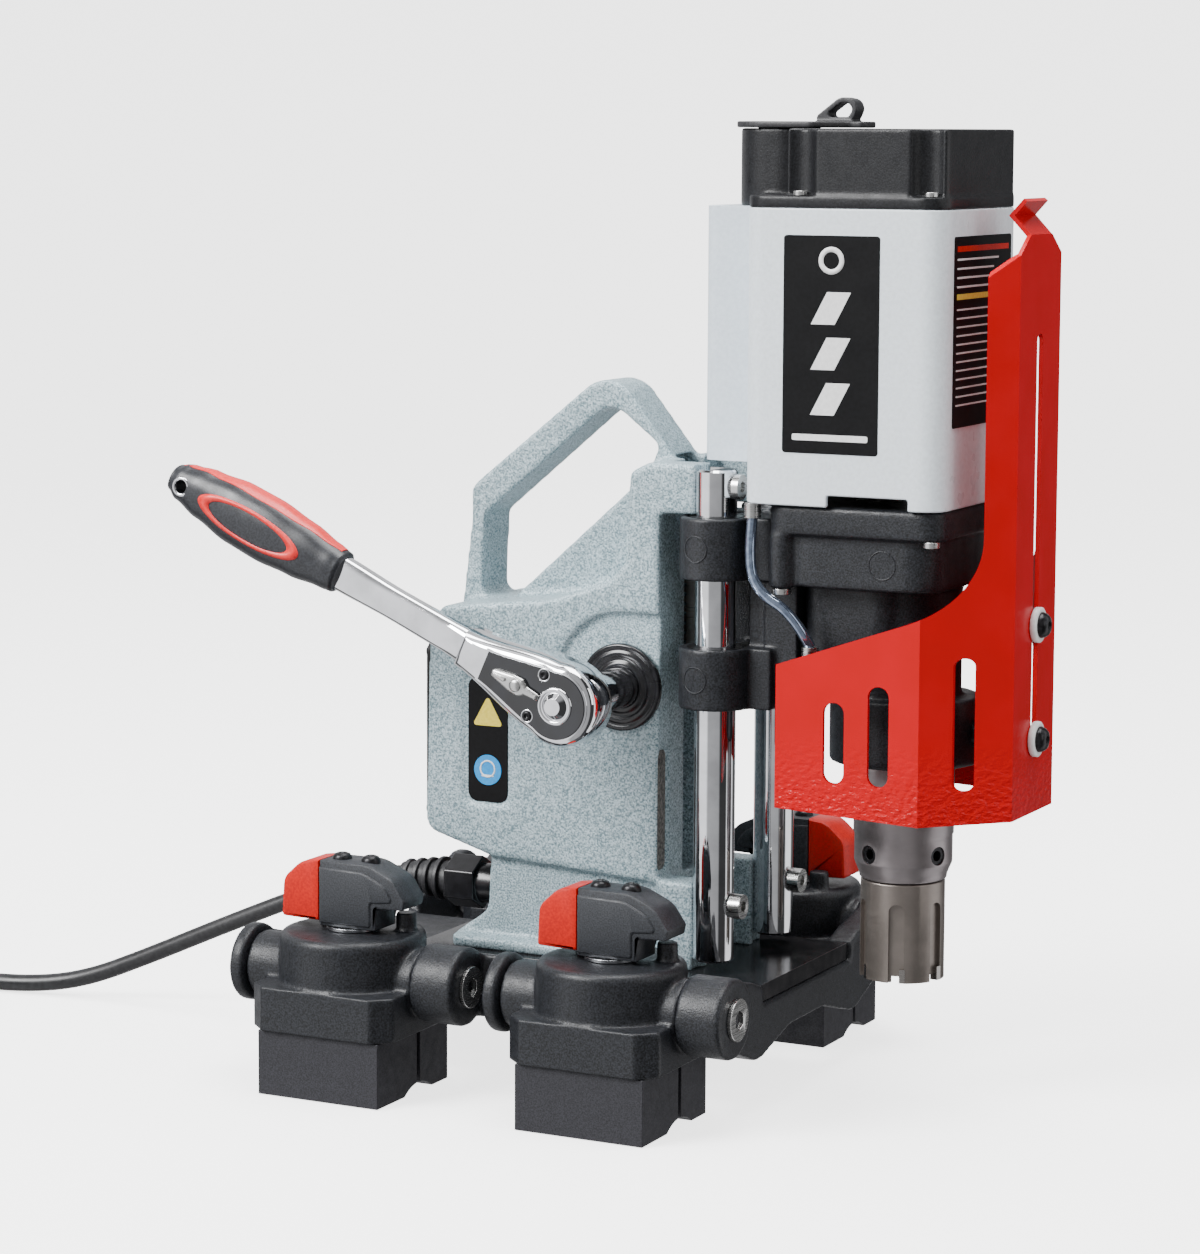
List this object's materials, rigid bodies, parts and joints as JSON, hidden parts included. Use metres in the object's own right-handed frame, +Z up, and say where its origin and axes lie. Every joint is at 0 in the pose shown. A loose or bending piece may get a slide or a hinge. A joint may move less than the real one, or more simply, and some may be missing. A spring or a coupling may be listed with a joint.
{
  "type": "magnetic drill press",
  "caption": "Portable magnetic drill press with a sliding motor unit on two columns, ratchet feed, sliding red guard and tilting switchable magnets.",
  "frame": {"origin": "middle of the machine's box on the surface it stands on, mains lead left out", "axes": "+Z up, +X towards the drill side, -Y towards the feed ratchet"},
  "size_m": [0.7255, 0.35, 0.4786],
  "materials": {
    "hammered_paint": "hammered satin",
    "black_casting": "fine textured",
    "pole_steel": "dark oxide, satin",
    "ground_plate": "glossy black",
    "chrome": "polished",
    "screw_steel": "zinc bright",
    "black_screw": "black oxide",
    "tool_steel": "matt ground",
    "housing_grey": "smooth satin",
    "tank_grey": "smooth satin",
    "black_plastic": "fine textured",
    "black_rubber": "matt",
    "clear_hose": "clear",
    "guard_red": "glossy",
    "grip": "soft touch",
    "lever_black": "textured",
    "green_button": "gloss",
    "red_button": "gloss",
    "circuit": "coated",
    "lamination": "laminated",
    "gear_steel": "machined",
    "bronze": "machined",
    "magnet_metal": "ground",
    "cable": "matt",
    "brass_pins": "bright"
  },
  "bodies": {
    "root": {"base_casting": "black_casting", "base_plate": "ground_plate", "pivot_screws": "screw_steel", "body_casting": "hammered_paint", "rear_cover": "black_plastic", "control_module": "circuit", "column_near": "chrome", "column_far": "chrome", "column_screws": "screw_steel", "cable_gland": "black_plastic", "strain_relief": "black_rubber", "feed_bushes": "black_plastic", "cord_lead": "cable", "cord_coil": "cable", "plug_body": "black_rubber", "plug_pins": "brass_pins"},
    "drill_unit": {"slide_casting": "black_casting", "slide_bushes": "bronze", "feed_rack": "gear_steel", "gearbox_housing": "black_casting", "shaft_bearings": "gear_steel", "motor_housing": "housing_grey", "motor_cap": "black_plastic", "field_stator": "lamination", "coolant_tank": "tank_grey", "coolant_hose": "clear_hose", "hose_fittings": "screw_steel", "housing_screws": "screw_steel", "guard_bracket": "black_screw", "guard_screws": "black_screw"},
    "feed": {"feed_shaft": "tool_steel"},
    "ratchet": {"ratchet_frame": "chrome", "ratchet_grip": "grip"},
    "reverse": {"reverse_lever": "chrome"},
    "spindle": {"spindle_arbor": "tool_steel", "arbor_set_screws": "black_screw", "annular_cutter": "tool_steel"},
    "pilot": {"pilot_pin": "gear_steel"},
    "motor_shaft": {"armature": "lamination"},
    "idler": {"idler_gears": "gear_steel"},
    "guard": {"guard_shield": "guard_red"},
    "lid": {"filler_lid": "black_rubber"},
    "start": {"start_button": "green_button"},
    "stop": {"stop_button": "red_button"},
    "magnet_front_near": {"magnet_housing_front_near": "black_casting", "pole_shoes_front_near": "pole_steel"},
    "lever_front_near": {"lever_front_near": "lever_black", "rotor_front_near": "magnet_metal"},
    "magnet_front_far": {"magnet_housing_front_far": "black_casting", "pole_shoes_front_far": "pole_steel"},
    "lever_front_far": {"lever_front_far": "lever_black", "rotor_front_far": "magnet_metal"},
    "magnet_rear_near": {"magnet_housing_rear_near": "black_casting", "pole_shoes_rear_near": "pole_steel"},
    "lever_rear_near": {"lever_rear_near": "lever_black", "rotor_rear_near": "magnet_metal"},
    "magnet_rear_far": {"magnet_housing_rear_far": "black_casting", "pole_shoes_rear_far": "pole_steel"},
    "lever_rear_far": {"lever_rear_far": "lever_black", "rotor_rear_far": "magnet_metal"}
  },
  "joints": [
    {"name": "drill_unit_slide", "type": "slide", "parent": "root", "child": "drill_unit", "axis": [0, 0, 1], "range_m": [-0.084, 0]},
    {"name": "feed_turn", "type": "hinge", "parent": "root", "child": "feed", "pos_m": [0.011, 0, 0.196], "axis": [0, 1, 0], "range_deg": [0, 295]},
    {"name": "ratchet_swing", "type": "hinge", "parent": "root", "child": "ratchet", "pos_m": [0.011, 0, 0.196], "axis": [0, 1, 0], "range_deg": [-44, 140]},
    {"name": "reverse_lever_turn", "type": "hinge", "parent": "ratchet", "child": "reverse", "pos_m": [-0.00908, -0.112, 0.20498], "axis": [0, 1, 0], "range_deg": [0, 30]},
    {"name": "spindle_spin", "type": "hinge", "parent": "drill_unit", "child": "spindle", "pos_m": [0.1414, 0, 0.1], "axis": [0, 0, 1], "continuous": true},
    {"name": "idler_spin", "type": "hinge", "parent": "drill_unit", "child": "idler", "pos_m": [0.12106, 0.01925, 0.27], "axis": [0, 0, 1], "continuous": true},
    {"name": "motor_spin", "type": "hinge", "parent": "drill_unit", "child": "motor_shaft", "pos_m": [0.1265, 0, 0.35], "axis": [0, 0, 1], "continuous": true},
    {"name": "pilot_slide", "type": "slide", "parent": "spindle", "child": "pilot", "axis": [0, 0, 1], "range_m": [0, 0.012], "stiffness_N_per_m": 150, "springref_m": -0.01},
    {"name": "guard_slide", "type": "slide", "parent": "drill_unit", "child": "guard", "axis": [0, 0, 1], "range_m": [-0.13, 0]},
    {"name": "lid_hinge", "type": "hinge", "parent": "drill_unit", "child": "lid", "pos_m": [0.12, 0, 0.4658], "axis": [0, 1, 0], "range_deg": [0, 100]},
    {"name": "start_push", "type": "slide", "parent": "root", "child": "start", "axis": [1, 0, 0], "range_m": [0, 0.003], "stiffness_N_per_m": 400, "springref_m": -0.002},
    {"name": "stop_push", "type": "slide", "parent": "root", "child": "stop", "axis": [1, 0, 0], "range_m": [0, 0.003], "stiffness_N_per_m": 400, "springref_m": -0.002},
    {"name": "magnet_front_near_tilt", "type": "hinge", "parent": "root", "child": "magnet_front_near", "pos_m": [0.0379, -0.1045, 0.056], "axis": [1, 0, 0], "range_deg": [-15, 15]},
    {"name": "lever_front_near_turn", "type": "hinge", "parent": "magnet_front_near", "child": "lever_front_near", "pos_m": [0.0379, -0.1045, 0.08], "axis": [0, 0, 1], "range_deg": [0, 160]},
    {"name": "magnet_front_far_tilt", "type": "hinge", "parent": "root", "child": "magnet_front_far", "pos_m": [0.0379, 0.1045, 0.056], "axis": [1, 0, 0], "range_deg": [-15, 15]},
    {"name": "lever_front_far_turn", "type": "hinge", "parent": "magnet_front_far", "child": "lever_front_far", "pos_m": [0.0379, 0.1045, 0.08], "axis": [0, 0, 1], "range_deg": [0, 160]},
    {"name": "magnet_rear_near_tilt", "type": "hinge", "parent": "root", "child": "magnet_rear_near", "pos_m": [-0.1021, -0.1045, 0.056], "axis": [1, 0, 0], "range_deg": [-15, 15]},
    {"name": "lever_rear_near_turn", "type": "hinge", "parent": "magnet_rear_near", "child": "lever_rear_near", "pos_m": [-0.1021, -0.1045, 0.08], "axis": [0, 0, 1], "range_deg": [0, 160]},
    {"name": "magnet_rear_far_tilt", "type": "hinge", "parent": "root", "child": "magnet_rear_far", "pos_m": [-0.1021, 0.1045, 0.056], "axis": [1, 0, 0], "range_deg": [-15, 15]},
    {"name": "lever_rear_far_turn", "type": "hinge", "parent": "magnet_rear_far", "child": "lever_rear_far", "pos_m": [-0.1021, 0.1045, 0.08], "axis": [0, 0, 1], "range_deg": [0, 160]}
  ],
  "couplings": [
    {"joint": "feed_turn", "follows": "drill_unit_slide", "rad_per_m": -60.606},
    {"joint": "idler_spin", "follows": "spindle_spin", "ratio": -2.2941},
    {"joint": "motor_spin", "follows": "spindle_spin", "ratio": 4.4533}
  ]
}
